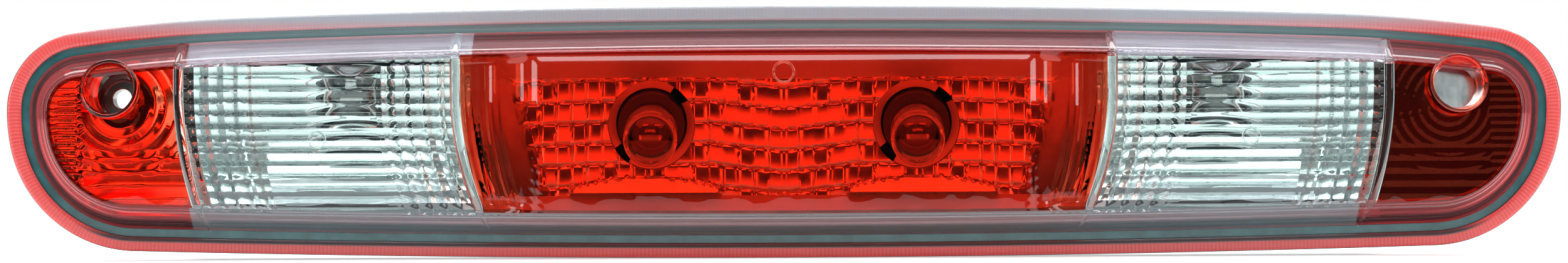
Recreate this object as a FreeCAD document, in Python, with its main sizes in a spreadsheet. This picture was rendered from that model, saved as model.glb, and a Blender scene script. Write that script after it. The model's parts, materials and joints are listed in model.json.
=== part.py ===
import FreeCAD, Part
import math
import os
import re
from FreeCAD import Placement, Rotation, Vector

# Third brake light. X runs along the lamp, -Y is the side that faces the road behind, +Z is up.
# The origin is the centre of the face that rests on the vehicle's roof panel, at Y = 0.

doc = FreeCAD.newDocument("ThirdBrakeLight")
sheet = doc.addObject("Spreadsheet::Sheet", "Dimensions")

# Driving dimensions in millimetres and degrees.
dimensions = {
    # outline, from the top centre clockwise: radii and swept angles of tangent arcs
    "outlineTop": 41.1,
    "crownRadius": 5060.0,
    "crownSweep": 2.02,
    "shoulderRadius": 510.0,
    "shoulderSweep": 6.0,
    "cornerRadius": 25.6,
    "cornerSweep": 80.4,
    "sideRadius": 59.0,
    "sideSweep": 11.7,
    "heelRadius": 42.3,
    "bottomRadius": 7400.0,
    # stations along Y, from the roof forwards
    "gasketThickness": 3.0,
    "plateThickness": 3.0,
    "beadGap": 0.3,
    "beadDepth": 1.0,
    "rimThickness": 3.0,
    "lensRise": 18.7,
    "lensCrownRadius": 6000.0,
    "wall": 2.5,
    # how far each outline lies inside the lens's own outline
    "plateInset": 1.5,
    "gasketInset": 2.5,
    "gasketWidth": 5.0,
    "beadInset": 3.4,
    "beadWidth": 3.0,
    "slopeInset": 7.6,
    "faceInset": 14.5,
    "trayInset": 8.2,
    # tray of the housing, behind the plate
    "trayHalfLength": 197.0,
    "trayDepth": 25.5,
    # clear windows
    "windowInner": 106.0,
    "windowOuter": 195.5,
    "windowTop": 25.0,
    "windowBottom": -26.2,
    "windowGap": 0.05,
    "windowLean": 5.6,
    "endInner": 199.0,
    # fixing screws: bush, boss and the tapered well that leads to them
    "screwX": 215.5,
    "screwZ": 11.2,
    "screwBore": 3.2,
    "bushRadius": 6.0,
    "bossRadius": 11.0,
    "wellSeatRadius": 5.6,
    "wellMouthRadius": 8.6,
    "wellOut": 3.0,
    "wellUp": 3.9,
    # lamps
    "stopX": 43.6,
    "stopZ": 2.4,
    "stopTilt": 14.0,
    "cargoX": 141.0,
    "cargoZ": 12.8,
    "cargoTilt": 0.0,
    "reflectorY": 8.0,
    "reflectorWall": 1.8,
    "stopHole": 14.3,
    "cargoHole": 12.9,
    "bezelThickness": 1.5,
    "bezelInset": 12.5,
    "bezelFloorInset": 19.0,
    "bezelDepth": 6.0,
    "bezelReach": 242.0,
    "bezelHole": 11.2,
    "collarSetback": 7.5,
    # twist-lock socket, along the lamp's own axis with zero at the collar's front face
    "collarDepth": 10.0,
    "collarSkirt": 4.0,
    "collarRadius": 17.4,
    "skirtBore": 15.8,
    "neckRadius": 11.0,
    "neckGap": 0.05,
    "neckFront": 9.5,
    "lugRadius": 13.3,
    "lugWidth": 5.6,
    "lugThickness": 3.0,
    "lugLift": 0.25,
    "notchRadius": 13.7,
    "notchWidth": 6.4,
    "notchAngle": 45.0,
    "stopPostWidth": 2.2,
    "sealThickness": 1.95,
    "sealInner": 11.4,
    "sealOuter": 14.6,
    "sealSeat": 2.0,
    "socketFlange": 15.2,
    "socketFlangeThickness": 2.4,
    "gripRadius": 11.6,
    "gripLength": 12.0,
    "wingSpan": 29.0,
    "wingThickness": 4.0,
    "inletLength": 17.0,
    "inletWidth": 17.0,
    "inletHeight": 10.0,
    "inletWall": 1.5,
    "inletDepth": 14.0,
    "bladeWidth": 2.8,
    "bladeThickness": 0.8,
    "bladeSpacing": 6.0,
    "bladeReach": 7.5,
    "bulbSeat": -3.0,
    "bulbBore": 7.2,
    "bulbBase": 7.0,
    "bulbRadius": 8.8,
    "bulbTip": 37.0,
    "glassWall": 0.9,
    "pinchTop": 12.0,
    "filamentSpan": 7.0,
    "filamentHeight": 25.0,
    "filamentRadius": 0.7,
    "supportRadius": 0.35,
    # stiffening ribs behind the tray
    "ribThickness": 2.0,
    "ribHeight": 3.0,
    "ribReach": 168.0,
    "spineZ": -22.0,
    # breather vents
    "ventX": 94.0,
    "ventZ": -12.0,
    "ventCap": 6.5,
    "ventCapHeight": 4.0,
    "ventStem": 3.0,
}
for row, (alias, value) in enumerate(dimensions.items(), start=1):
    sheet.set("A%d" % row, alias)
    sheet.set("B%d" % row, str(value))
    sheet.setAlias("B%d" % row, alias)
doc.recompute()

size = {alias: float(sheet.get(alias)) for alias in dimensions}
aliasPattern = re.compile(r"\b(" + "|".join(sorted(dimensions, key=len, reverse=True)) + r")\b")
subParts = []


# ---- small helpers

def bind(obj, **properties):
    """Bind properties to cells. A double underscore stands for a dot, as in Placement__Base__z."""
    for name, expression in properties.items():
        linked = aliasPattern.sub(r"Dimensions.\1", expression)
        obj.setExpression(name.replace("__", "."), linked)
    return obj


def subPart(obj, label):
    """Keep a finished piece under the name of its file."""
    obj.Label = label
    subParts.append(obj)
    return obj


def feature(name, shape):
    obj = doc.addObject("Part::Feature", name)
    obj.Shape = shape
    return obj


def cylinder(name, radius, height, start="0"):
    """A cylinder along the local Z axis from start upwards."""
    obj = doc.addObject("Part::Cylinder", name)
    return bind(obj, Radius=radius, Height=height, Placement__Base__z=start)


def rod(name, radius, height, placement):
    """A cylinder whose own Z axis starts at a placement."""
    obj = doc.addObject("Part::Cylinder", name)
    bind(obj, Radius=radius, Height=height)
    obj.Placement = placement
    return obj


def block(name, length, width, height, centre=("0", "0"), start="0", turn=0.0):
    """A box centred on a point of the local XY plane, turned about the local Z axis."""
    obj = doc.addObject("Part::Box", name)
    bind(obj, Length=length, Width=width, Height=height)
    obj.Placement.Rotation = Rotation(Vector(0, 0, 1), turn)
    cosine = math.cos(math.radians(turn))
    sine = math.sin(math.radians(turn))
    alongX = "(%s) - (%s) / 2" % (centre[0], length)
    alongY = "(%s) - (%s) / 2" % (centre[1], width)
    return bind(
        obj,
        Placement__Base__x="(%s) * %.9f - (%s) * %.9f" % (alongX, cosine, alongY, sine),
        Placement__Base__y="(%s) * %.9f + (%s) * %.9f" % (alongX, sine, alongY, cosine),
        Placement__Base__z=start,
    )


def fuse(name, *shapes):
    obj = doc.addObject("Part::MultiFuse", name)
    obj.Shapes = list(shapes)
    return obj


def cut(name, base, *tools):
    obj = doc.addObject("Part::Cut", name)
    obj.Base = base
    obj.Tool = tools[0] if len(tools) == 1 else fuse(name + "Tools", *tools)
    return obj


def common(name, *shapes):
    obj = doc.addObject("Part::MultiCommon", name)
    obj.Shapes = list(shapes)
    return obj


# ---- the outline: tangent arcs that share their centres at every inset

def outlineArcs():
    """Centre, radius, start and end heading of each arc from the top centre round to the bottom centre.
    A point at heading a lies at centre + radius * (sin a, cos a)."""
    arcs = []
    x = 0.0
    z = size["outlineTop"]
    heading = 0.0
    for part in ("crown", "shoulder", "corner", "side"):
        radius = size[part + "Radius"]
        centreX = x - radius * math.sin(heading)
        centreZ = z - radius * math.cos(heading)
        end = heading + math.radians(size[part + "Sweep"])
        arcs.append((centreX, centreZ, radius, heading, end))
        x = centreX + radius * math.sin(end)
        z = centreZ + radius * math.cos(end)
        heading = end
    # the heel ends where it is tangent to the bottom arc, whose centre is on the middle plane
    radius = size["heelRadius"]
    centreX = x - radius * math.sin(heading)
    centreZ = z - radius * math.cos(heading)
    bottom = size["bottomRadius"]
    sweep = math.asin(centreX / (bottom - radius))
    end = math.pi - sweep
    arcs.append((centreX, centreZ, radius, heading, end))
    arcs.append((0.0, centreZ + (bottom - radius) * math.cos(sweep), bottom, end, math.pi))
    return arcs


def outlineWire(inset, y):
    """The closed outline, a given distance inside the lens's edge, in the plane at y."""
    def point(arc, heading, side):
        radius = arc[2] - inset
        return Vector(side * (arc[0] + radius * math.sin(heading)), y, arc[1] + radius * math.cos(heading))

    arcs = outlineArcs()
    crown, bottom = arcs[0], arcs[-1]
    edges = [Part.Arc(point(crown, crown[4], -1), point(crown, 0.0, 1), point(crown, crown[4], 1)).toShape()]
    for arc in arcs[1:-1]:
        middle = (arc[3] + arc[4]) / 2
        edges.append(Part.Arc(point(arc, arc[3], 1), point(arc, middle, 1), point(arc, arc[4], 1)).toShape())
    edges.append(
        Part.Arc(point(bottom, bottom[3], 1), point(bottom, math.pi, 1), point(bottom, bottom[3], -1)).toShape()
    )
    for arc in reversed(arcs[1:-1]):
        middle = (arc[3] + arc[4]) / 2
        edges.append(Part.Arc(point(arc, arc[4], -1), point(arc, middle, -1), point(arc, arc[3], -1)).toShape())
    return Part.Wire(edges)


def plate(name, inset, y, thickness):
    """A plate of the outline's shape, its front face at y, reaching back by a bound thickness."""
    face = feature(name + "Face", Part.Face(outlineWire(inset, y)))
    obj = doc.addObject("Part::Extrusion", name)
    obj.Base = face
    obj.DirMode = "Custom"
    obj.Dir = Vector(0, 1, 0)
    obj.Solid = True
    return bind(obj, LengthFwd=thickness)


def taper(name, wires):
    """A solid with straight sides between closed wires."""
    sections = []
    for index, wire in enumerate(wires):
        sections.append(feature("%sSection%d" % (name, index), wire))
    obj = doc.addObject("Part::Loft", name)
    obj.Sections = sections
    obj.Solid = True
    obj.Ruled = True
    return obj


def quad(corners, y):
    """A closed wire through (x, z) corners in the plane at y."""
    points = [Vector(x, y, z) for x, z in corners]
    return Part.makePolygon(points + [points[0]])


def lampPlacement(x, z, tilt):
    """Local +Z points along the bulb, out through the reflector; zero is the collar's front face."""
    turn = Rotation(Vector(1, 0, 0), 90 + tilt)
    forward = turn.multVec(Vector(0, 0, 1))
    hole = Vector(x, size["reflectorY"], z)
    return Placement(hole - forward * size["collarSetback"], turn)


def screwPlacement(sign, y):
    """Local +Z points forwards along the fixing screw's axis, starting at y."""
    return Placement(Vector(sign * size["screwX"], y, size["screwZ"]), Rotation(Vector(1, 0, 0), 90))


sides = {"left": -1, "right": 1}
lamps = {}
for side, sign in sides.items():
    lamps["stop_" + side] = lampPlacement(sign * size["stopX"], size["stopZ"], size["stopTilt"])
    lamps["cargo_" + side] = lampPlacement(sign * size["cargoX"], size["cargoZ"], size["cargoTilt"])

plateBack = -size["gasketThickness"]
plateFront = plateBack - size["plateThickness"]
rimBack = plateFront - size["beadGap"]
rimFront = rimBack - size["rimThickness"]
lensFront = rimFront - size["lensRise"]


# ---- lens: rim, sloping sides, crowned face, screw wells and windows

def lensCrown(name, y):
    """A tall cylinder whose front lies at y in the middle and falls away to the ends."""
    radius = size["lensCrownRadius"]
    obj = doc.addObject("Part::Cylinder", name)
    bind(obj, Radius="lensCrownRadius", Height="outlineTop * 4")
    obj.Placement.Base = Vector(0, y + radius, -2 * size["outlineTop"])
    return obj


def windowPrism(name, sign, gap):
    """The window's opening through the face, its ends leaning inwards towards the bottom."""
    inner = size["windowInner"] + gap
    outer = size["windowOuter"] - gap
    top = size["windowTop"] - gap
    bottom = size["windowBottom"] + gap
    lean = size["windowLean"]
    corners = [
        (sign * inner, top), (sign * outer, top),
        (sign * (outer - lean), bottom), (sign * (inner - lean), bottom),
    ]
    face = Part.Face(quad(corners, lensFront - 1))
    return feature(name, face.extrude(Vector(0, size["lensRise"], 0)))


def wellCone(name, sign, extra, start):
    """The tapered well from the screw seat out through the face, leaning up and outwards."""
    axis = Vector(sign * size["wellOut"], lensFront - rimBack, size["wellUp"])
    seat = Vector(sign * size["screwX"], rimBack, size["screwZ"])
    length = axis.Length
    axis.normalize()
    slope = (size["wellMouthRadius"] - size["wellSeatRadius"]) / length
    bottom = size["wellSeatRadius"] + extra + slope * start
    reach = length + size["wall"]
    topRadius = size["wellSeatRadius"] + extra + slope * reach
    return feature(name, Part.makeCone(bottom, topRadius, reach - start, seat + axis * start, axis))


lensOuter = common(
    "LensOuterCrowned",
    taper("LensOuter", [outlineWire(size["slopeInset"], rimFront), outlineWire(size["faceInset"], lensFront - 0.5)]),
    lensCrown("LensOuterCrown", lensFront),
)
lensRim = plate("LensRim", 0.0, rimFront, "rimThickness")
lensCavity = common(
    "LensCavityCrowned",
    taper("LensCavity", [
        outlineWire(size["slopeInset"] + size["wall"], rimBack),
        outlineWire(size["faceInset"] + size["wall"], lensFront + 1.5),
    ]),
    lensCrown("LensInnerCrown", lensFront + size["wall"]),
)
lensShell = cut("LensShell", fuse("LensBody", lensRim, lensOuter), lensCavity)

windowCuts = [windowPrism("WindowCut" + side.title(), sign, 0.0) for side, sign in sides.items()]
lensWithoutWindows = cut("LensWithoutWindows", lensShell, *windowCuts)
lensEnvelope = fuse("LensEnvelope", lensRim, lensOuter)
endLimits = {}
for side, sign in sides.items():
    limit = doc.addObject("Part::Box", "EndLimit" + side.title())
    bind(limit, Length="endInner / 2", Width="lensRise * 2", Height="outlineTop * 4")
    left = size["endInner"] if sign > 0 else -size["endInner"] * 3 / 2
    limit.Placement.Base = Vector(left, rimFront - 2 * size["lensRise"], -2 * size["outlineTop"])
    endLimits[side] = limit
subPart(cut("LensRed", lensWithoutWindows, *endLimits.values()), "lens_red")

for side, sign in sides.items():
    stem = side.title()
    window = windowPrism("Window" + stem, sign, size["windowGap"])
    subPart(common("LensClear" + stem, lensShell, window), "lens_clear_" + side)
    clearance = wellCone("WellClearance" + stem, sign, size["wall"] + size["windowGap"], 0.0)
    endShell = common("EndShell" + stem, lensWithoutWindows, endLimits[side])
    subPart(cut("LensEnd" + stem, endShell, clearance), "lens_end_" + side)
    wall = common("WellBody" + stem, wellCone("WellWall" + stem, sign, size["wall"], 0.0), lensEnvelope)
    hollow = wellCone("WellHollow" + stem, sign, 0.0, size["wall"])
    seatHole = rod("SeatHole" + stem, "screwBore", "rimThickness * 3", screwPlacement(sign, rimBack + size["wall"]))
    subPart(cut("ScrewWell" + stem, wall, hollow, seatHole), "screw_well_" + side)


# ---- seal bead between lens and housing, and the foam gasket behind the housing's plate

def ring(name, inset, width, y, thickness):
    outer = plate(name + "Outer", size[inset], y, thickness)
    inner = plate(name + "Inner", size[inset] + size[width], y, thickness)
    return cut(name, outer, inner)


subPart(ring("LensSeal", "beadInset", "beadWidth", rimBack, "beadGap + beadDepth"), "lens_seal")
subPart(ring("Gasket", "gasketInset", "gasketWidth", plateBack, "gasketThickness"), "mounting_gasket")


# ---- housing: plate, tray, screw bosses, socket collars, ribs and vent holes

def trayPlate(name, inset, halfLength, y, depth):
    """The outline at an inset, cut off square at both ends and reaching back."""
    height = 2.2 * size["outlineTop"]
    obj = doc.addObject("Part::Box", name + "Limits")
    obj.Length = 2 * halfLength
    obj.Width = depth
    obj.Height = height
    obj.Placement.Base = Vector(-halfLength, y, -height / 2)
    face = Part.Face(outlineWire(inset, y))
    return common(name, feature(name + "Outline", face.extrude(Vector(0, depth, 0))), obj)


housingPlate = plate("HousingPlate", size["plateInset"], plateFront, "plateThickness")
tray = trayPlate("Tray", size["trayInset"], size["trayHalfLength"], plateBack, size["trayDepth"] - plateBack)
trayHollow = trayPlate(
    "TrayHollow",
    size["trayInset"] + size["wall"],
    size["trayHalfLength"] - size["wall"],
    plateFront,
    size["trayDepth"] - size["wall"] - plateFront,
)
trayShell = cut("TrayShell", fuse("TrayBody", housingPlate, tray), trayHollow)
beadGroove = ring("BeadGroove", "beadInset", "beadWidth", plateFront, "beadDepth")

bosses = []
bushHoles = []
for side, sign in sides.items():
    atRoof = screwPlacement(sign, 0)
    bosses.append(rod("Boss" + side.title(), "bossRadius", "gasketThickness + plateThickness / 2", atRoof))
    bushHoles.append(rod("BushHole" + side.title(), "bushRadius", "gasketThickness + plateThickness", atRoof))

collarSeats = []
for name, placement in lamps.items():
    stem = name.title().replace("_", "")
    body = cylinder(stem + "Collar", "collarRadius", "collarDepth + collarSkirt", "-collarDepth - collarSkirt")
    posts = []
    for turn in (0, 180):
        posts.append(block(
            stem + "Post%d" % turn, "stopPostWidth", "stopPostWidth", "lugThickness / 2",
            centre=("-(lugWidth + stopPostWidth) / 2 - 0.5", "notchRadius - stopPostWidth / 2 + 1.2"),
            start="-0.5", turn=turn,
        ))
    collar = fuse(stem + "CollarBody", body, *posts)
    behind = placement.multiply(Placement(Vector(0, 0, -2 * size["collarDepth"]), Rotation()))
    collarSeats.append(rod(stem + "CollarSeat", "collarRadius + windowGap", "collarDepth * 3", behind))
    bore = cylinder(stem + "Bore", "neckRadius + neckGap", "collarDepth * 4", "-collarDepth * 2")
    skirt = cylinder(stem + "Skirt", "skirtBore", "collarDepth * 3", "-collarDepth * 4")
    notch = block(
        stem + "Notch", "notchRadius * 2", "notchWidth", "collarDepth * 2",
        start="-collarDepth * 1.5", turn=size["notchAngle"],
    )
    collarRing = cut(stem + "CollarRing", collar, bore, skirt, notch)
    collarRing.Placement = placement
    subPart(collarRing, "collar_" + name)

ribs = []
reach = size["ribReach"]
ribBase = size["trayDepth"] - size["wall"]
for index, x in enumerate((-reach, -reach * 2 / 3, -reach * 3 / 7, 0, reach * 3 / 7, reach * 2 / 3, reach)):
    rib = doc.addObject("Part::Box", "Rib%d" % index)
    bind(rib, Length="ribThickness", Width="ribHeight + wall", Height="outlineTop")
    rib.Placement.Base = Vector(x - size["ribThickness"] / 2, ribBase, -size["outlineTop"] / 2)
    ribs.append(rib)
spine = doc.addObject("Part::Box", "Spine")
bind(spine, Length="ribReach * 2", Width="ribHeight + wall", Height="ribThickness")
spine.Placement.Base = Vector(-reach, ribBase, size["spineZ"])
ribs.append(spine)

vents = []
for side, sign in sides.items():
    centre = Vector(sign * size["ventX"], size["trayDepth"] + size["ventCapHeight"], size["ventZ"])
    behind = Placement(centre, Rotation(Vector(1, 0, 0), 90))
    bushHoles.append(rod("VentHole" + side.title(), "ventStem", "ventCapHeight + wall * 2", behind))
    cap = cylinder("VentCap" + side.title(), "ventCap", "ventCapHeight")
    stem = cylinder("VentStem" + side.title(), "ventStem", "wall", "ventCapHeight")
    channel = cylinder("VentChannel" + side.title(), "ventStem / 2", "wall + ventCapHeight / 2", "ventCapHeight / 2")
    vent = cut("Vent" + side.title(), fuse("VentBody" + side.title(), cap, stem), channel)
    vent.Placement = behind
    subPart(vent, "vent_" + side)

housing = cut(
    "Housing",
    fuse("HousingBody", trayShell, *bosses, *ribs),
    beadGroove, *bushHoles, *collarSeats,
)
subPart(housing, "housing")

for side, sign in sides.items():
    outer = cylinder("Bush" + side.title(), "bushRadius", "gasketThickness + plateThickness")
    inner = cylinder("BushBore" + side.title(), "screwBore", "(gasketThickness + plateThickness) * 2", "-1")
    bush = cut("ScrewBush" + side.title(), outer, inner)
    bush.Placement = screwPlacement(sign, 0)
    subPart(bush, "screw_bush_" + side)


# ---- reflectors: open trays with sloping sides and a hole for each bulb

def reflector(name, front, back, holes):
    """Front and back are (x, z) corners; holes are the lamps' placements with a radius each."""
    frontY = rimFront + 1.0
    backY = size["reflectorY"]
    thickness = size["reflectorWall"]
    outer = taper(name + "Outer", [quad(front, frontY), quad(back, backY + thickness)])
    centreX = sum(x for x, z in front) / len(front)
    centreZ = sum(z for x, z in front) / len(front)

    def shrink(corners):
        return [(x - math.copysign(thickness, x - centreX), z - math.copysign(thickness, z - centreZ))
                for x, z in corners]

    inner = taper(name + "Inner", [quad(shrink(front), frontY - 0.01), quad(shrink(back), backY)])
    tools = [inner]
    for index, (placement, radius) in enumerate(holes):
        tools.append(rod("%sHole%d" % (name, index), radius, "collarSetback * 3", placement))
    return cut(name, outer, *tools)


# the tray fronts lean with the ribs of the lens: (x, z) corners at the front and at the floor
stopFront = [(-103, 28), (103, 28), (95, -27.5), (-95, -27.5)]
stopFloor = [(-88, 18.5), (88, 18.5), (77, -21), (-77, -21)]
cargoFront = [(105, 26), (194, 26), (187.5, -27), (97.5, -27)]
cargoFloor = [(108, 26), (189, 26), (181, -21), (102, -21)]
bothStops = [(lamps["stop_" + side], "stopHole") for side in sides]
subPart(reflector("StopReflector", stopFront, stopFloor, bothStops), "stop_reflector")
for side, sign in sides.items():
    front = [(sign * x, z) for x, z in cargoFront]
    floor = [(sign * x, z) for x, z in cargoFloor]
    cargoReflector = reflector("CargoReflector" + side.title(), front, floor, [(lamps["cargo_" + side], "cargoHole")])
    subPart(cargoReflector, "cargo_reflector_" + side)

# a bright dish lies on the housing behind each red end and goes round the screw well
for side, sign in sides.items():
    stem = side.title()
    rimY = plateFront - size["bezelDepth"]
    wall = size["bezelThickness"]
    outer = taper("BezelOuter" + stem, [
        outlineWire(size["bezelInset"], rimY), outlineWire(size["bezelFloorInset"], plateFront),
    ])
    inner = taper("BezelInner" + stem, [
        outlineWire(size["bezelInset"] + wall, rimY), outlineWire(size["bezelFloorInset"] + wall, plateFront - wall),
    ])
    limit = doc.addObject("Part::Box", "BezelLimit" + stem)
    bind(limit, Length="bezelReach - endInner", Width="bezelDepth * 3", Height="outlineTop * 4")
    left = size["endInner"] if sign > 0 else -size["bezelReach"]
    limit.Placement.Base = Vector(left, plateFront - 2 * size["bezelDepth"], -2 * size["outlineTop"])
    hole = rod("BezelHole" + stem, "bezelHole", "bezelDepth * 3", screwPlacement(sign, plateFront + 1))
    dish = cut("EndReflector" + stem, common("BezelBody" + stem, outer, limit), inner, hole)
    subPart(dish, "end_reflector_" + side)


# ---- one lamp: twist-lock socket, seal ring, contact blades, bulb glass and filament

def socketBody(stem):
    flangeFront = "-collarDepth - sealSeat"
    gripFront = "-collarDepth - sealSeat - socketFlangeThickness"
    gripBack = gripFront + " - gripLength"
    neck = cylinder(stem + "Neck", "neckRadius", "neckFront + collarDepth + sealSeat", flangeFront)
    flange = cylinder(stem + "Flange", "socketFlange", "socketFlangeThickness", gripFront)
    grip = cylinder(stem + "Grip", "gripRadius", "gripLength", gripBack)
    wings = block(stem + "Wings", "wingSpan", "wingThickness", "gripLength", start=gripBack)
    lugs = block(
        stem + "Lugs", "lugWidth", "lugRadius * 2", "lugThickness", start="lugLift",
    )
    lugLimit = cylinder(stem + "LugLimit", "lugRadius", "lugThickness", "lugLift")
    lugPair = common(stem + "LugPair", lugs, lugLimit)
    inletStart = gripBack + " - inletLength + 1"
    inlet = block(stem + "Inlet", "inletWidth", "inletHeight", "inletLength", start=inletStart)
    inletHollow = block(
        stem + "InletHollow", "inletWidth - inletWall * 2", "inletHeight - inletWall * 2", "inletDepth",
        start=inletStart,
    )
    bulbBore = cylinder(stem + "BulbBore", "bulbBore", "neckFront * 2 - bulbSeat", "bulbSeat")
    slots = blades(stem + "Slot")
    body = fuse(stem + "SocketSolid", neck, flange, grip, wings, lugPair, inlet)
    return cut(stem + "Socket", body, inletHollow, bulbBore, *slots)


def blades(stem):
    """Two flat blades from the bulb's seat into the connector inlet."""
    inletFloor = "-collarDepth - sealSeat - socketFlangeThickness - gripLength + 1 - inletLength + inletDepth"
    start = inletFloor + " - bladeReach"
    length = "bulbSeat + bladeReach - (%s)" % inletFloor
    made = []
    for index, sign in enumerate("-+"):
        made.append(block(
            "%s%d" % (stem, index), "bladeWidth", "bladeThickness", length,
            centre=("%sbladeSpacing / 2" % sign, "0"), start=start,
        ))
    return made


def bulbGlass(stem):
    shoulder = "neckFront + 1"
    base = cylinder(stem + "GlassBase", "bulbBase", "%s - bulbSeat" % shoulder, "bulbSeat")
    barrel = cylinder(stem + "GlassBarrel", "bulbRadius", "bulbTip - bulbRadius - (%s)" % shoulder, shoulder)
    dome = doc.addObject("Part::Sphere", stem + "GlassDome")
    bind(dome, Radius="bulbRadius", Placement__Base__z="bulbTip - bulbRadius")
    hollow = cylinder(
        stem + "GlassHollow", "bulbRadius - glassWall", "bulbTip - bulbRadius - pinchTop", "pinchTop",
    )
    hollowDome = doc.addObject("Part::Sphere", stem + "GlassHollowDome")
    bind(hollowDome, Radius="bulbRadius - glassWall", Placement__Base__z="bulbTip - bulbRadius")
    return cut(stem + "Glass", fuse(stem + "GlassSolid", base, barrel, dome), hollow, hollowDome)


def filament(stem):
    posts = []
    for index, sign in enumerate("-+"):
        post = cylinder(stem + "Post%d" % index, "supportRadius", "filamentHeight - pinchTop", "pinchTop")
        bind(post, Placement__Base__x="%sfilamentSpan / 2" % sign)
        posts.append(post)
    coil = doc.addObject("Part::Cylinder", stem + "Coil")
    bind(coil, Radius="filamentRadius", Height="filamentSpan + 1")
    coil.Placement.Rotation = Rotation(Vector(0, 1, 0), 90)
    bind(coil, Placement__Base__x="-(filamentSpan + 1) / 2", Placement__Base__z="filamentHeight")
    return fuse(stem + "Filament", coil, *posts)


for name, placement in lamps.items():
    stem = name.title().replace("_", "")
    seal = cut(
        stem + "Seal",
        cylinder(stem + "SealOuter", "sealOuter", "sealThickness", "-collarDepth - sealSeat"),
        cylinder(stem + "SealInner", "sealInner", "sealThickness * 3", "-collarDepth - sealSeat * 2"),
    )
    pieces = {
        "socket": socketBody(stem),
        "seal": seal,
        "contacts": fuse(stem + "Contacts", *blades(stem + "Blade")),
        "bulb": bulbGlass(stem + "Bulb"),
        "filament": filament(stem + "Wire"),
    }
    for piece, obj in pieces.items():
        obj.Placement = placement
        subPart(obj, "%s_%s" % (name, piece))


# ---- check every object and write the files

doc.recompute()
for obj in doc.Objects:
    if "Invalid" in obj.State or "Error" in obj.State:
        raise RuntimeError("%s failed: %s" % (obj.Name, obj.State))
os.makedirs("parts", exist_ok=True)
for obj in subParts:
    shape = obj.Shape
    if shape.isNull() or not shape.isValid() or shape.Volume <= 0:
        raise RuntimeError("%s has no valid solid" % obj.Label)
    shape.exportStep("parts/%s.step" % obj.Label)
    box = shape.BoundBox
    print("%-24s solids %d  volume %9.1f  x %7.1f %7.1f  y %6.1f %6.1f  z %6.1f %6.1f" % (
        obj.Label, len(shape.Solids), shape.Volume,
        box.XMin, box.XMax, box.YMin, box.YMax, box.ZMin, box.ZMax,
    ))
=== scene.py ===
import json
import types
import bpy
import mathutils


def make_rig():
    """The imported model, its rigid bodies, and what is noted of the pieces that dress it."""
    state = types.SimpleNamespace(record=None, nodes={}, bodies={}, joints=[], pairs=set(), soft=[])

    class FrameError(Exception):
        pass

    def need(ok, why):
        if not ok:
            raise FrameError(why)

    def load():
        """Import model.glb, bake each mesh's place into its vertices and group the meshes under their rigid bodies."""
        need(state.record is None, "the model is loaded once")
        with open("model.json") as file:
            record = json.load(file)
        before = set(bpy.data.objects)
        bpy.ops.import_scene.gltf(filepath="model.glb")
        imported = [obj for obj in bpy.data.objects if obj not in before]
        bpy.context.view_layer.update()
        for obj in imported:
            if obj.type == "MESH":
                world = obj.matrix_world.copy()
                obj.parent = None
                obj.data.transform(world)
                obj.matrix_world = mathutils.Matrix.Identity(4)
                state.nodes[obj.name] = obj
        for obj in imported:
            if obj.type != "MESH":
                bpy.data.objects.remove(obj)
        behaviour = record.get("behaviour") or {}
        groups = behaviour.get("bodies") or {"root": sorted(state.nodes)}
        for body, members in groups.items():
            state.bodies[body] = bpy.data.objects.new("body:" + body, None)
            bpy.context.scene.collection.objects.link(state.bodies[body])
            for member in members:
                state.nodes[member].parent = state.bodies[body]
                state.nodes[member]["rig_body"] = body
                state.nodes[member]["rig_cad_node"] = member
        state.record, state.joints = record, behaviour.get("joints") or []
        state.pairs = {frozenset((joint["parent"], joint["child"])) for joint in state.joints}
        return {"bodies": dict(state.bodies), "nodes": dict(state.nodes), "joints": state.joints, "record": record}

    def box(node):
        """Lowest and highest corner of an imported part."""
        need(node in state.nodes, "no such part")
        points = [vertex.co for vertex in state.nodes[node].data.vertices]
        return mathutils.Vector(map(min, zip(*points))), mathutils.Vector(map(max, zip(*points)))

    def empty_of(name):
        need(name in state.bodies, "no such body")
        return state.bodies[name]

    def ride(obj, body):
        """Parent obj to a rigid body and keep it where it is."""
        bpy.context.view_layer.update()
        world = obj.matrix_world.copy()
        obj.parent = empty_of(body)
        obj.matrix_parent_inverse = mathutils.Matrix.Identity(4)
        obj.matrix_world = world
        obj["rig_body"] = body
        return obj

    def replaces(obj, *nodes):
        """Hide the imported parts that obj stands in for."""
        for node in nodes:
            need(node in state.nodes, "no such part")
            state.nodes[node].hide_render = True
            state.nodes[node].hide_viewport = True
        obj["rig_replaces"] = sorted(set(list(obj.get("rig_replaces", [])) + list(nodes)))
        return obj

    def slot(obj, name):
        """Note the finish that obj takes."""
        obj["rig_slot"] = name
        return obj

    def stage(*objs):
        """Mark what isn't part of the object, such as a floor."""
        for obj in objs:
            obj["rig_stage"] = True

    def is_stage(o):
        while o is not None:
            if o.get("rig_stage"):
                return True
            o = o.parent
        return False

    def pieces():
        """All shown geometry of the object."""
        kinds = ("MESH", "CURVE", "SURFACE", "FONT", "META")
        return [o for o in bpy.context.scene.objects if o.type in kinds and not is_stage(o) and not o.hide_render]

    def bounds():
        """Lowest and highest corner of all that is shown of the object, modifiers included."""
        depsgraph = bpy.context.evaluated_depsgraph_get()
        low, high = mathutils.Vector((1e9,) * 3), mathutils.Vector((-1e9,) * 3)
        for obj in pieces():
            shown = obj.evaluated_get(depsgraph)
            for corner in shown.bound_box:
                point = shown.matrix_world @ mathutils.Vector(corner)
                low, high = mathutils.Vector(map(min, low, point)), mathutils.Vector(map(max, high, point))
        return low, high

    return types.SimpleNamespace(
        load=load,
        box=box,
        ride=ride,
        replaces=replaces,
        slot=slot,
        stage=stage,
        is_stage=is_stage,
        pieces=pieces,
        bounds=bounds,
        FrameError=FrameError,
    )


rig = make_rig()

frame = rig.load()

import json
import math
import bpy
import numpy as np
from mathutils import Vector

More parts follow.
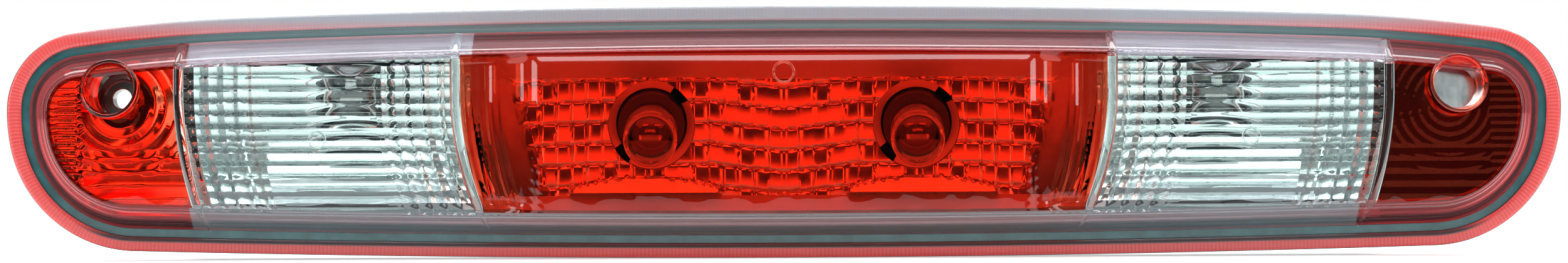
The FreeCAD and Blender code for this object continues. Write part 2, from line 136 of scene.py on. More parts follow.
cadBox = [list(corner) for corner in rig.bounds()]
mm = 0.001
lensLow, lensHigh = [np.array(corner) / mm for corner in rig.box("lens_red")]
rimBack = -6.3
rimFront = rimBack - 3.0
print("frame loaded, lens", lensLow.round(1), lensHigh.round(1))


# Small tools. All shapes are worked out in millimetres and stored in metres.

def rgb(code):
    # sRGB hex to linear, each channel through the usual 2.4 power curve
    parts = np.array([int(code[i:i + 2], 16) for i in (0, 2, 4)]) / 255
    linear = np.where(parts <= 0.04045, parts / 12.92, ((parts + 0.055) / 1.055) ** 2.4)
    return (*linear.tolist(), 1.0)


def smoothStep(t):
    # 3t^2 - 2t^3 between 0 and 1
    t = np.clip(t, 0, 1)
    return t * t * (3 - 2 * t)


def addNode(tree, kind, settings=None, links=None):
    node = tree.nodes.new("ShaderNode" + kind)
    for key, value in (settings or {}).items():
        if isinstance(key, int) or key in node.inputs:
            node.inputs[key].default_value = value
        else:
            setattr(node, key, value)
    for key, source in (links or {}).items():
        tree.links.new(source, node.inputs[key])
    return node


def newMaterial(name):
    material = bpy.data.materials.new(name)
    material.use_nodes = True
    material.node_tree.nodes.clear()
    return material, material.node_tree


def finishMaterial(tree, shader):
    addNode(tree, "OutputMaterial", links={"Surface": shader.outputs[0]})


def closedVolume(points, faces):
    # signed volume: a sixth of the sum of a . (b x c) over a fan of each face
    total = 0.0
    for k in range(1, faces.shape[1] - 1):
        a, b, c = points[faces[:, 0]], points[faces[:, k]], points[faces[:, k + 1]]
        total += np.einsum("ij,ij->i", a, np.cross(b, c)).sum()
    return total / 6


def addPiece(name, points, faces, body, slot, materials, faceMaterials=None, uv=None, sharp=35):
    # points n x 3 in mm; faces m x 4; the winding is turned so that the faces point outwards
    points = np.asarray(points, dtype=float).reshape(-1, 3)
    faces = np.asarray(faces, dtype=int)
    if closedVolume(points, faces) < 0:
        faces = faces[:, ::-1]
    mesh = bpy.data.meshes.new(name)
    mesh.from_pydata((points * mm).tolist(), [], faces.tolist())
    mesh.update()
    for material in materials:
        mesh.materials.append(material)
    if faceMaterials is not None:
        mesh.polygons.foreach_set("material_index", np.asarray(faceMaterials, dtype=np.int32))
    if uv is not None:
        loops = np.empty(len(mesh.loops), dtype=np.int32)
        mesh.loops.foreach_get("vertex_index", loops)
        layer = mesh.uv_layers.new(name="surface")
        layer.data.foreach_set("uv", np.asarray(uv, dtype=np.float32)[loops].ravel())
    mesh.polygons.foreach_set("use_smooth", np.ones(len(mesh.polygons), dtype=bool))
    mesh.set_sharp_from_angle(angle=math.radians(sharp))
    piece = bpy.data.objects.new(name, mesh)
    bpy.context.scene.collection.objects.link(piece)
    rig.ride(piece, body)
    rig.slot(piece, slot)
    return piece


def gridFaces(rows, columns, closeRows=False, closeColumns=False, start=0):
    # quads between neighbours of a rows x columns grid of points, wrapping where asked
    r = np.arange(rows if closeRows else rows - 1)[:, None]
    c = np.arange(columns if closeColumns else columns - 1)[None, :]
    r2, c2 = (r + 1) % rows, (c + 1) % columns
    quads = [r * columns + c, r2 * columns + c, r2 * columns + c2, r * columns + c2]
    return start + np.stack(np.broadcast_arrays(*quads), axis=-1).reshape(-1, 4)


def tubePath(path, radius, sides=10):
    # a round tube along an open path, its ends closed: rings of radius times (cos, sin) across the path
    path = np.asarray(path, dtype=float)
    along = np.gradient(path, axis=0)
    along /= np.linalg.norm(along, axis=1)[:, None]
    helper = np.where(np.abs(along[:, 2:3]) < 0.9, [[0.0, 0.0, 1.0]], [[1.0, 0.0, 0.0]])
    first = np.cross(along, helper)
    first /= np.linalg.norm(first, axis=1)[:, None]
    second = np.cross(along, first)
    turn = np.linspace(0, 2 * math.pi, sides, endpoint=False)
    spread = np.cos(turn)[:, None] * first[:, None] + np.sin(turn)[:, None] * second[:, None]
    rings = path[:, None] + radius * spread
    points = np.concatenate([rings.reshape(-1, 3), path[:1], path[-1:]])
    faces = gridFaces(len(path), sides, closeColumns=True)
    i = np.arange(sides)
    j = (i + 1) % sides
    last = (len(path) - 1) * sides
    startCap = np.full(sides, len(path) * sides)
    capA = np.stack([startCap, j, i, i], axis=1)
    capB = np.stack([startCap + 1, last + i, last + j, last + j], axis=1)
    return points, faces, np.concatenate([capA, capB])


def placeLocal(points, origin, along):
    # local (u, v, w) to the row frame: w along the axis, u along X, v the third direction
    along = np.asarray(along) / np.linalg.norm(along)
    u = np.array([1.0, 0, 0]) - along[0] * along
    u /= np.linalg.norm(u)
    v = np.cross(along, u)
    return np.asarray(origin) + points[..., 0:1] * u + points[..., 1:2] * v + points[..., 2:3] * along


def lathePiece(name, profile, origin, along, body, slot, materials, segments=72, faceRows=None, closed=True):
    # a closed profile of (radius, height) turned about an axis: (r cos a, r sin a, h) for a full turn of a
    profile = np.asarray(profile, dtype=float)
    turn = np.linspace(0, 2 * math.pi, segments, endpoint=False)
    r, h = profile[:, 0:1], profile[:, 1:2]
    local = np.stack([r * np.cos(turn), r * np.sin(turn), h + 0 * turn], axis=-1)
    faces = gridFaces(len(profile), segments, closeRows=closed, closeColumns=True)
    faceMaterials = None if faceRows is None else np.repeat(faceRows, segments)
    return addPiece(name, placeLocal(local, origin, along), faces, body, slot, materials, faceMaterials)


# Materials. Each is named for what it is; sizes in the patterns are real millimetres.

def perMm(size):
    # a pattern scale that gives features of that many millimetres on coordinates in metres
    return 1 / (size * mm)


def moundBump(tree, size, strength, depth, detail=2.0):
    # a fine moulded texture as bump, from noise of a real grain size
    coordinates = addNode(tree, "TexCoord")
    noise = addNode(tree, "TexNoise", {"Scale": perMm(size), "Detail": detail},
                    {"Vector": coordinates.outputs["Object"]})
    bump = addNode(tree, "Bump", {"Strength": strength, "Distance": depth * mm},
                   {"Height": noise.outputs["Fac"]})
    return noise, bump


def lampPlastic(name, tint, haze, ior=1.49, frost=0.0, frostColour="FFFFFF"):
    # Injection-moulded acrylic: clear with a mirror-smooth skin. Lamps shine through it tinted, so what is
    # inside stays lit, and the eye sees it bent by the moulded flutes. Orange peel wobbles the gloss.
    # Frost is the share of light that the wall scatters back in its own pale colour.
    material, tree = newMaterial(name)
    noise, bump = moundBump(tree, 9.0, 0.25, 0.05, 1.0)
    body = addNode(tree, "BsdfPrincipled", {
        "Base Color": rgb(tint), "Roughness": haze, "IOR": ior, "Transmission Weight": 1.0,
    }, {"Normal": bump.outputs["Normal"]})
    if frost:
        pale = addNode(tree, "BsdfDiffuse", {"Color": rgb(frostColour)})
        body = addNode(tree, "MixShader", {0: frost}, {1: body.outputs[0], 2: pale.outputs[0]})
    # a wall has two faces, so each lets the square root of its tint through
    clear = addNode(tree, "BsdfTransparent", {"Color": tuple(c ** 0.5 for c in rgb(tint))})
    path = addNode(tree, "LightPath")
    shader = body
    for ray, other in (("Is Glossy Ray", clear), ("Is Transmission Ray", body), ("Is Diffuse Ray", clear),
                       ("Is Shadow Ray", clear)):
        shader = addNode(tree, "MixShader", links={
            0: path.outputs[ray], 1: shader.outputs[0], 2: other.outputs[0]})
    finishMaterial(tree, shader)
    return material


def knurledRim():
    # Frosted red acrylic flange: a fine radial knurl, moulded on its underside, glows pink through the skin.
    material, tree = newMaterial("frostedRedAcrylic")
    uvMap = addNode(tree, "UVMap", {"uv_map": "surface"})
    # u counts knurl teeth round the edge and v is millimetres across it
    split = addNode(tree, "SeparateXYZ", links={0: uvMap.outputs[0]})
    wave = addNode(tree, "Math", {"operation": "SINE"}, {0: split.outputs[0]})
    half = addNode(tree, "Math", {"operation": "MULTIPLY_ADD", 1: 0.5, 2: 0.5}, {0: wave.outputs[0]})
    coordinates = addNode(tree, "TexCoord")
    patches = addNode(tree, "TexNoise", {"Scale": perMm(14)}, {"Vector": coordinates.outputs["Object"]})
    depth = addNode(tree, "Math", {"operation": "MULTIPLY"},
                    {0: half.outputs[0], 1: patches.outputs["Fac"]})
    colours = addNode(tree, "ValToRGB", links={0: depth.outputs[0]})
    colours.color_ramp.elements[0].color = rgb("F4625F")
    colours.color_ramp.elements[1].color = rgb("DC4546")
    colours.color_ramp.elements[1].position = 0.9
    # along the top the flange is painted a paler grey: a painted reflection of the light above
    height = addNode(tree, "SeparateXYZ", links={0: coordinates.outputs["Object"]})
    top = addNode(tree, "MapRange", {"From Min": 31 * mm, "From Max": 37 * mm}, {0: height.outputs[2]})
    pale = addNode(tree, "Mix", {"data_type": "RGBA", 7: rgb("AEB0B8")},
                   {0: top.outputs[0], 6: colours.outputs[0]})
    # along the bottom its inner part is painted dark, painted shade: low is 1 under the lamp, across is 1 beyond 3.4
    # mm
    low = addNode(tree, "MapRange", {"From Min": -29 * mm, "From Max": -33 * mm}, {0: height.outputs[2]})
    across = addNode(tree, "MapRange", {"From Min": 2.9, "From Max": 3.4}, {0: split.outputs[1]})
    shaded = addNode(tree, "Math", {"operation": "MULTIPLY"}, {0: low.outputs[0], 1: across.outputs[0]})
    shadedBelow = addNode(tree, "Mix", {"data_type": "RGBA", 7: rgb("5A4A4C")},
                   {0: shaded.outputs[0], 6: pale.outputs[2]})
    bump = addNode(tree, "Bump", {"Strength": 0.35, "Distance": 0.1 * mm}, {"Height": half.outputs[0]})
    finishMaterial(tree, addNode(tree, "BsdfPrincipled", {
        "Roughness": 0.3, "Subsurface Weight": 0.3, "Subsurface Scale": 2 * mm, "Coat Weight": 0.6,
        "Coat Roughness": 0.06,
    }, {"Base Color": shadedBelow.outputs[2], "Normal": bump.outputs[0]}))
    return material


def paintedReflectionEdge():
    # The weld line of the lens, painted a dark blue-green gloss: a painted reflection of the dim room.
    material, tree = newMaterial("edgePaintedRoomReflection")
    noise, bump = moundBump(tree, 6.0, 0.2, 0.05)
    colours = addNode(tree, "ValToRGB", links={0: noise.outputs["Fac"]})
    colours.color_ramp.elements[0].color = rgb("1E4C50")
    colours.color_ramp.elements[1].color = rgb("3F8488")
    # along the top the edge is painted a paler grey: a painted reflection of the light above
    coordinates = addNode(tree, "TexCoord")
    height = addNode(tree, "SeparateXYZ", links={0: coordinates.outputs["Object"]})
    top = addNode(tree, "MapRange", {"From Min": 26 * mm, "From Max": 35 * mm}, {0: height.outputs[2]})
    pale = addNode(tree, "Mix", {"data_type": "RGBA", 7: rgb("92A2A4")},
                   {0: top.outputs[0], 6: colours.outputs[0]})
    finishMaterial(tree, addNode(tree, "BsdfPrincipled", {
        "Roughness": 0.22, "Coat Weight": 0.8, "Coat Roughness": 0.05,
    }, {"Base Color": pale.outputs[2], "Normal": bump.outputs[0]}))
    return material


def metallised(name, dull, colour="F1F3F3", metal=1.0):
    # ABS with a vacuum-deposited aluminium film under lacquer: bright, with faint flow marks from moulding.
    material, tree = newMaterial(name)
    noise, bump = moundBump(tree, 3.0, 0.3, 0.04)
    roughness = addNode(tree, "MapRange", {"To Min": dull * 0.7, "To Max": dull * 1.4},
                        {0: noise.outputs["Fac"]})
    finishMaterial(tree, addNode(tree, "BsdfPrincipled", {
        "Base Color": rgb(colour), "Metallic": metal,
    }, {"Roughness": roughness.outputs[0], "Normal": bump.outputs[0]}))
    return material


def mouldedPlastic(name, dark, light, roughness, grain, coat=0.0):
    # Opaque injection-moulded plastic with a spark-eroded grain: even colour, lighter on the high spots.
    material, tree = newMaterial(name)
    noise, bump = moundBump(tree, grain, 0.5, 0.08)
    colours = addNode(tree, "ValToRGB", links={0: noise.outputs["Fac"]})
    colours.color_ramp.elements[0].color = rgb(dark)
    colours.color_ramp.elements[0].position = 0.3
    colours.color_ramp.elements[1].color = rgb(light)
    colours.color_ramp.elements[1].position = 0.75
    wide = addNode(tree, "TexNoise", {"Scale": perMm(35)})
    coordinates = next(n for n in tree.nodes if n.type == "TEX_COORD")
    tree.links.new(coordinates.outputs["Object"], wide.inputs["Vector"])
    rough = addNode(tree, "MapRange", {"To Min": roughness * 0.85, "To Max": roughness * 1.15},
                    {0: wide.outputs["Fac"]})
    finishMaterial(tree, addNode(tree, "BsdfPrincipled", {"Coat Weight": coat}, {
        "Base Color": colours.outputs[0], "Roughness": rough.outputs[0], "Normal": bump.outputs[0]}))
    return material


def foamRubber():
    # Closed-cell EPDM foam: a matt black skin of burst cells about a millimetre across.
    material, tree = newMaterial("closedCellFoam")
    coordinates = addNode(tree, "TexCoord")
    cells = addNode(tree, "TexVoronoi", {"Scale": perMm(0.9)}, {"Vector": coordinates.outputs["Object"]})
    colours = addNode(tree, "ValToRGB", links={0: cells.outputs["Distance"]})
    colours.color_ramp.elements[0].color = rgb("0E0F10")
    colours.color_ramp.elements[1].color = rgb("2B2C2D")
    bump = addNode(tree, "Bump", {"Strength": 0.7, "Distance": 0.2 * mm},
                   {"Height": cells.outputs["Distance"]})
    finishMaterial(tree, addNode(tree, "BsdfPrincipled", {"Roughness": 0.9}, {
        "Base Color": colours.outputs[0], "Normal": bump.outputs[0]}))
    return material


def platedMetal(name, colour, roughness, line):
    # Turned or stamped metal: fine tool lines a fraction of a millimetre apart vary its gloss.
    material, tree = newMaterial(name)
    coordinates = addNode(tree, "TexCoord")
    stretch = addNode(tree, "Mapping", {"Scale": (1.0, 8.0, 1.0)}, {"Vector": coordinates.outputs["Object"]})
    lines = addNode(tree, "TexNoise", {"Scale": perMm(line), "Detail": 3.0}, {"Vector": stretch.outputs[0]})
    rough = addNode(tree, "MapRange", {"To Min": roughness * 0.6, "To Max": roughness * 1.5},
                    {0: lines.outputs["Fac"]})
    bump = addNode(tree, "Bump", {"Strength": 0.3, "Distance": 0.02 * mm}, {"Height": lines.outputs["Fac"]})
    finishMaterial(tree, addNode(tree, "BsdfPrincipled", {"Base Color": rgb(colour), "Metallic": 1.0}, {
        "Roughness": rough.outputs[0], "Normal": bump.outputs[0]}))
    return material


redAcrylic = lampPlastic("redAcrylic", "F66444", 0.0)
clearAcrylic = lampPlastic("clearAcrylic", "EFF9F7", 0.0)
bulbGlassMaterial = lampPlastic("blownSodaLimeGlass", "F4F8F7", 0.0, 1.52)
wallAcrylic = lampPlastic("redAcrylicThickWall", "BC5658", 0.03, frost=0.1, frostColour="B08A90")
wallClear = lampPlastic("clearAcrylicThickWall", "E0D8E2", 0.03, frost=0.3, frostColour="BCB8C4")
wallSmoke = lampPlastic("smokedAcrylicThickWall", "AAA2A8", 0.03, frost=0.28, frostColour="A8BCC0")
rimMaterial = knurledRim()
# the groove, outer edge and well seats take this painted reflection of the dim room
edgeMaterial = paintedReflectionEdge()
brightFilm = metallised("metallisedAbsBright", 0.22, "F1EFEC")
satinFilm = metallised("metallisedAbsSatin", 0.28, "E6EFEE")
endFilm = metallised("metallisedAbsFluted", 0.2, "F1F3F3")
sleeveFilm = metallised("metallisedAbsMatt", 0.45, "FFFFFF", 0.1)
shadeFilm = metallised("metallisedAbsShade", 0.4, "B0B2B4")
wallFilm = metallised("metallisedAbsWall", 0.4, "E0E2E2", 0.3)
# a dark film laid on the lowest part of each dish flute: painted shade
fluteShadeFilm = metallised("metallisedAbsPaintedFluteShade", 0.4, "2C2A2C")
materialOfNode = {
    "housing": mouldedPlastic("blackAbsMoulded", "0B0D0F", "1C1F22", 0.5, 0.7),
    "mounting_gasket": foamRubber(),
    "lens_seal": mouldedPlastic("butylBead", "15100F", "241C1A", 0.6, 2.0),
    "screw_bush": platedMetal("zincPlatedSteel", "8A8D86", 0.3, 0.6),
    "vent": mouldedPlastic("greyNylonMoulded", "24272A", "3A3D40", 0.45, 0.8),
    "socket": mouldedPlastic("glassFilledNylon", "24282A", "383C3F", 0.42, 0.6, 0.1),
    "seal": mouldedPlastic("siliconeRubber", "7A2B16", "9A3B20", 0.5, 1.5),
    "contacts": platedMetal("tinnedBrass", "D8BC7A", 0.22, 0.5),
}
print("materials made")


# The outline: tangent arcs that share their centres at every inset, as on the CAD lens.

outlineShape = {
    # radius, degrees, points
    "arcs": [(5060.0, 2.02, 30), (510.0, 6.0, 20), (25.6, 80.4, 48), (59.0, 11.7, 10)],
    "heelRadius": 42.3,
    "heelPoints": 52,
    "bottomRadius": 7400.0,
    "bottomPoints": 34,
    "crownRadius": 6000.0,  # how the face falls away towards the ends
}


def outlineSamples():
    # centre x, centre z, radius and heading of every sample from the top centre to the bottom centre
    x, z, heading = 0.0, lensHigh[2], 0.0
    rows = []
    for radius, sweep, count in outlineShape["arcs"]:
        cx, cz = x - radius * math.sin(heading), z - radius * math.cos(heading)
        end = heading + math.radians(sweep)
        rows += [(cx, cz, radius, h) for h in np.linspace(heading, end, count, endpoint=False)]
        x, z, heading = cx + radius * math.sin(end), cz + radius * math.cos(end), end
    radius, bottom = outlineShape["heelRadius"], outlineShape["bottomRadius"]
    cx, cz = x - radius * math.sin(heading), z - radius * math.cos(heading)
    sweep = math.asin(cx / (bottom - radius))
    end = math.pi - sweep
    headings = np.linspace(heading, end, outlineShape["heelPoints"], endpoint=False)
    rows += [(cx, cz, radius, h) for h in headings]
    bottomZ = cz + (bottom - radius) * math.cos(sweep)
    rows += [(0.0, bottomZ, bottom, h) for h in np.linspace(end, math.pi, outlineShape["bottomPoints"])]
    return np.array(rows)


samples = outlineSamples()


def halfOutline(inset):
    # a point at heading h lies at centre + (radius - inset) * (sin h, cos h)
    radius = samples[:, 2] - inset
    return samples[:, 0] + radius * np.sin(samples[:, 3]), samples[:, 1] + radius * np.cos(samples[:, 3])


def fullOutline(inset):
    x, z = halfOutline(inset)
    return np.concatenate([x, -x[-2:0:-1]]), np.concatenate([z, z[-2:0:-1]])


def crownFall(x):
    # sagitta of the crown: x squared over twice its radius
    return x * x / (2 * outlineShape["crownRadius"])


def edgeZ(x, inset, top):
    # height of the outline's top or bottom edge at a given x
    hx, hz = halfOutline(inset)
    tip = int(np.argmax(hx))
    if top:
        return np.interp(np.abs(x), hx[:tip + 1], hz[:tip + 1])
    return np.interp(np.abs(x), hx[tip:][::-1], hz[tip:][::-1])


# Lens rim, groove and sloping sides: one closed section carried round the outline.

rimShape = {
    "faceY": -27.3,
    "thickness": 2.4,
    "faceInset": 14.8,
    "slopeInset": 7.6,
    "grooveInset": 4.8,
    "grooveDepth": 1.7,
    "knurlPitch": 1.25,
    "ridges": 3,
    "ridgeHeight": 0.07,
}


def sideProfile():
    # (inset, y, material) from the back outer corner over the rim, groove, ridged slope and face edge, then
    # back down the inside. The slope is a straight line with shallow half-sine ridges along its normal.
    s = rimShape
    rows = [(0.0, rimBack, 2), (0.0, rimFront + 0.6, 2), (0.2, rimFront + 0.2, 1), (0.6, rimFront, 1)]
    rows += [(v, rimFront, 1) for v in np.linspace(1.2, s["grooveInset"] - 0.2, 4)]
    floor = rimFront + s["grooveDepth"]
    rows += [(s["grooveInset"], rimFront + 0.2, 2), (s["grooveInset"] + 0.1, floor, 2)]
    rows += [(s["slopeInset"] - 0.3, floor, 2), (s["slopeInset"] - 0.1, rimFront, 0)]
    t = np.linspace(0.02, 0.93, 60)
    bulge = s["ridgeHeight"] * np.abs(np.sin(t * math.pi * s["ridges"]))
    inset = s["slopeInset"] + t * (s["faceInset"] - 0.9 - s["slopeInset"]) - bulge
    y = rimFront + t * (s["faceY"] - rimFront)
    rows += [(a, b, 0) for a, b in zip(inset, y)]
    fillet = np.radians(np.linspace(8, 90, 7))
    rows += [(s["faceInset"] - 1.0 * math.cos(a), s["faceY"] + 1.3 - 1.3 * math.sin(a), 0) for a in fillet]
    back = s["faceY"] + s["thickness"]
    rows += [(s["faceInset"] + 0.02, back, 0), (s["faceInset"] + 0.9, back + 0.4, 0)]
    rows += [(a, b, 0) for a, b in zip(np.linspace(s["faceInset"] + 0.6, s["slopeInset"] + 2.6, 12),
                                       np.linspace(back + 1.5, rimBack - 0.6, 12))]
    rows += [(s["slopeInset"] + 2.5, rimBack, 1)]
    return rows


def buildRim():
    rows = sideProfile()
    grid = []
    for inset, y, kind in rows:
        x, z = fullOutline(inset)
        lift = max(0.0, (rimFront - y) / (rimFront - rimShape["faceY"]))
        grid.append(np.stack([x, y + lift * crownFall(x), z], axis=-1))
    grid = np.array(grid)
    count = grid.shape[1]
    faces = gridFaces(len(rows), count, closeRows=True, closeColumns=True)
    kinds = np.repeat([row[2] for row in rows], count).reshape(len(rows), count)
    # the clear windows run up over the top slope, so its wall is clear between the ribs
    x, z = np.abs(grid[:, :, 0]), grid[:, :, 2]
    between = (x > ribShape["innerX"]) & (x < ribShape["outerX"]) & (z > 0)
    kinds = np.where(between & (kinds == 0), 3, kinds)
    # below, the thick wall is smoked as far as the outer ribs
    under = (x < ribShape["outerX"] - 6) & (z < 0)
    kinds = np.where(under & (kinds == 0), 4, kinds).ravel()
    edge = np.roll(grid[1], -1, axis=0) - grid[1]
    length = np.concatenate([[0], np.cumsum(np.linalg.norm(edge, axis=1))[:-1]])
    u = np.broadcast_to(length * 2 * math.pi / rimShape["knurlPitch"], grid.shape[:2])
    v = np.broadcast_to(np.array([row[0] for row in rows])[:, None], grid.shape[:2])
    piece = addPiece("lens_rim_and_sides", grid, faces, "lamp_body", "red_lens",
                     [wallAcrylic, rimMaterial, edgeMaterial, wallClear, wallSmoke], kinds,
                     np.stack([u, v], -1).reshape(-1, 2), sharp=50)
    return piece


# The dividing ribs stand between the red ends, the clear windows and the red centre.

ribShape = {
    "outerX": 196.0,
    "outerBend": 0.0042,
    "innerX": 106.4,
    "innerBend": 0.0050,
    "bendStart": 14.0,
    "halfWidth": 1.6,
    "height": 0.9,
    "depth": 1.6,
    "low": -32.0,
    "topInset": 8.2,
}


def ribX(z, which):
    # straight down to the bend, then a parabola leaning to the middle of the lamp
    below = np.maximum(0, ribShape["bendStart"] - z)
    return ribShape[which + "X"] - ribShape[which + "Bend"] * below ** 2


rim = buildRim()
print("rim and sides", len(rim.data.polygons))


def surfaceY(x, z):
    # front of the lens: the sloping side over its band of insets, then the crowned face
    s = rimShape
    inset = np.minimum(edgeZ(x, 0.0, True) - z, z - edgeZ(x, 0.0, False))
    t = np.clip((inset - s["slopeInset"]) / (s["faceInset"] - s["slopeInset"]), 0, 1)
    return rimFront + t * (s["faceY"] - rimFront + crownFall(x))


def closedSheet(name, both, shape, materials, slot="metallised_reflector", sharp=22, kinds=None):
    # front and back grids of the same shape, joined round the border into one closed skin
    rows, columns = shape
    size = rows * columns
    border = np.concatenate([
        np.arange(columns), np.arange(1, rows) * columns + columns - 1,
        size - 2 - np.arange(columns - 1), (rows - 2 - np.arange(rows - 2)) * columns,
    ])
    nextOne = np.roll(border, -1)
    sides = np.stack([border, border + size, nextOne + size, nextOne], axis=1)
    front, back = gridFaces(rows, columns)[:, ::-1], gridFaces(rows, columns, start=size)
    faces = np.concatenate([front, back, sides])
    return addPiece(name, both, faces, "lamp_body", slot, materials, kinds, sharp=sharp)


def slab(name, sign, xInner, xOuter, front, back, step, material, slot, easeTip=False):
    # A closed moulded panel over a patch of the face. Columns run between the curves xInner(z) and xOuter(z),
    # rows between the bottom and top edges of the face; front(x, z) and back(x, z) give its two surfaces.
    columns = int(abs(xOuter(0.0) - xInner(0.0)) / step) + 2
    rows = int(52 / step)
    u = np.linspace(0, 1, columns)
    if easeTip:
        u = np.sin(u * math.pi / 2)
    u = u[None, :]
    v = np.linspace(0, 1, rows)[:, None]
    z = -26 + 52 * v + 0 * u
    for _ in range(5):
        x = xInner(z) + u * (xOuter(z) - xInner(z))
        low, high = edgeZ(x, rimShape["faceInset"], False), edgeZ(x, rimShape["faceInset"], True)
        z = low + v * (high - low)
    frontPoints = np.stack([sign * x, front(x, z), z], axis=-1)
    backPoints = np.stack([sign * x, back(x, z), z], axis=-1)
    both = np.concatenate([frontPoints.reshape(-1, 3), backPoints.reshape(-1, 3)])
    return closedSheet(name, both, z.shape, [material], slot=slot, sharp=40)


def faceY(x):
    return rimShape["faceY"] + crownFall(x)


# Clear windows: smooth outside; inside, lying flutes with a column of pillows at each end.

windowShape = {
    "flutePitch": 4.05,
    "fluteDepth": 0.85,
    "fluteTop": 21.8,
    "columnPitch": 4.8,
    "columnDepth": 1.0,
    "pillowBand": 24.0,
    "step": 0.6,
}


def scallop(t):
    # a row of round flutes: each is an arch 1 - (2f - 1)^2 of the fraction f within one pitch
    f = t - np.floor(t)
    return 1 - (2 * f - 1) ** 2


def windowBack(x, z):
    s = windowShape
    flutes = s["fluteDepth"] * scallop((s["fluteTop"] - z) / s["flutePitch"])
    inner, outer = ribX(z, "inner"), ribX(z, "outer")
    nearEnd = np.minimum(x - inner, outer - x)
    band = 1 - smoothStep((nearEnd - s["pillowBand"]) / 1.5)
    pillows = band * s["columnDepth"] * scallop(nearEnd / s["columnPitch"])
    return faceY(x) + rimShape["thickness"] - 1.2 + flutes + pillows


def ribPiece(name, sign, which):
    # a half-round bead along the rib's line, square to the surface it lies on: (w sin a, h cos a) over a flat
    # foot. It tapers to a point at the bottom.
    s = ribShape
    high = float(edgeZ(np.array([s[which + "X"]]), 0.0, True)[0]) - s["topInset"]
    z = np.linspace(high, s["low"], 150)
    x = ribX(z, which)
    path = np.stack([x, surfaceY(x, z), z], axis=-1)
    along = np.gradient(path, axis=0)
    lateral = np.array([1.0, 0.0, 0.0])
    normal = np.cross(along, lateral)
    normal /= np.linalg.norm(normal, axis=1)[:, None]
    normal *= np.where(normal[:, 1:2] < 0, 1, -1)
    taper = np.clip((z - s["low"]) / 9, 0.06, 1) ** 0.7
    a = np.linspace(-math.pi / 2, math.pi / 2, 13)
    w, h = (s["halfWidth"] * taper)[:, None] * np.sin(a), (s["height"] * taper)[:, None] * np.cos(a)
    bead = path[:, None] + w[..., None] * lateral + h[..., None] * normal[:, None]
    foot = path[:, None] + w[:, ::-1, None] * lateral - (s["depth"] * taper)[:, None, None] * normal[:, None]
    ring = np.concatenate([bead, foot], axis=1) * [sign, 1, 1]
    count = ring.shape[1]
    faces = gridFaces(len(z), count, closeColumns=True)
    i = np.arange(1, 13)
    mirror = count - 1 - i
    firstAndLast = (0, (len(z) - 1) * count)
    ends = [np.stack([r + i - 1, r + i, r + mirror, r + mirror + 1], axis=1) for r in firstAndLast]
    ends[1] = ends[1][:, ::-1]
    faces = np.concatenate([faces] + ends)
    return addPiece(name, ring, faces, "lamp_body", "clear_lens", [clearAcrylic], sharp=40)


def gateMark(name, x, y, z, radius, slot):
    # the round witness of an ejector pin: a low torus on the face
    turn = np.linspace(0, 2 * math.pi, 10, endpoint=False)
    profile = [(radius + 0.4 * math.cos(a), 0.35 * math.sin(a)) for a in turn]
    place = (x, float(y), z)
    return lathePiece(name, profile, place, (0, -1, 0), "lamp_body", slot, [clearAcrylic], segments=48)


for side, sign in (("left", -1), ("right", 1)):
    half = ribShape["halfWidth"]
    window = slab(
        "window_" + side, sign,
        lambda z: ribX(z, "inner") + half - 0.2, lambda z: ribX(z, "outer") - half + 0.2,
        lambda x, z: faceY(x), windowBack, windowShape["step"], clearAcrylic, "clear_lens",
    )
    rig.replaces(window, "lens_clear_" + side)
    for which in ("inner", "outer"):
        ribPiece("rib_%s_%s" % (which, side), sign, which)
    gateMark("gate_mark_" + side, sign * 151.0, faceY(151.0), -2.0, 2.6, "clear_lens")
print("windows and ribs")


# Red centre: side strips with upright flutes, a sloping step, and the raised middle panel.

centreShape = {
    "panelHalf": 82.0,
    "stepEnd": 97.5,
    "recess": 6.0,
    "raise": 1.0,
    "bevel": 3.0,
    "raiseTop": (25.3, 22.4),
    "stripFlute": 2.6,
    "stripDepth": 0.5,
    "stripStart": 92.0,
    "step": 0.8,
}


def centreFront(x, z):
    s = centreShape
    step = smoothStep((np.abs(x) - s["panelHalf"]) / (s["stepEnd"] - s["panelHalf"]))
    edge = np.minimum(edgeZ(x, rimShape["faceInset"], True) - z, z - edgeZ(x, rimShape["faceInset"], False))
    inside = smoothStep(edge / 2.5)
    # the raised panel has a flat bevel along its top and both ends
    top = np.clip((s["raiseTop"][0] - z) / (s["raiseTop"][0] - s["raiseTop"][1]), 0, 1)
    raised = np.minimum(top, np.clip((s["panelHalf"] - np.abs(x)) / s["bevel"], 0, 1))
    return faceY(x) + s["recess"] * step * inside - s["raise"] * raised


def centreBack(x, z):
    s = centreShape
    lean = np.abs(x) + ribShape["innerBend"] * np.maximum(0, ribShape["bendStart"] - z) ** 2
    strip = smoothStep((lean - s["stripStart"]) / 1.0)
    flutes = strip * s["stripDepth"] * scallop(lean / s["stripFlute"])
    return centreFront(x, z) + rimShape["thickness"] - 0.4 + flutes


def centreEdge(z):
    return ribX(z, "inner") - ribShape["halfWidth"] + 0.2


centre = slab(
    "centre_panel", 1, lambda z: -centreEdge(z), centreEdge,
    centreFront, centreBack, centreShape["step"], redAcrylic, "red_lens",
)
gateMark("gate_mark_centre", 0.0, faceY(0.0) - centreShape["raise"], 19.3, 3.3, "red_lens")
print("centre panel", len(centre.data.polygons))


# Red ends: fluted inside, with the tapered screw well through them.

endShape = {
    "outerZone": 228.5,
    "outerPitch": 2.5,
    "outerDepth": 0.2,
    "innerPitch": 4.2,
    "innerDepth": 0.25,
    "innerTop": -4.0,
    "ringPitch": 3.1,
    "ringDepth": 0.2,
    "ringReach": 25.0,
    "step": 0.5,
}
screwAt = (np.array(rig.box("screw_bush_right")[0]) + np.array(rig.box("screw_bush_right")[1])) / 2 / mm
wellShape = {
    "seatRadius": 5.6,
    "mouthRadius": 8.6,
    "wall": 1.6,
    "out": 3.0,
    "up": 3.9,
    "hole": 3.2,
    "lip": 0.7,
}


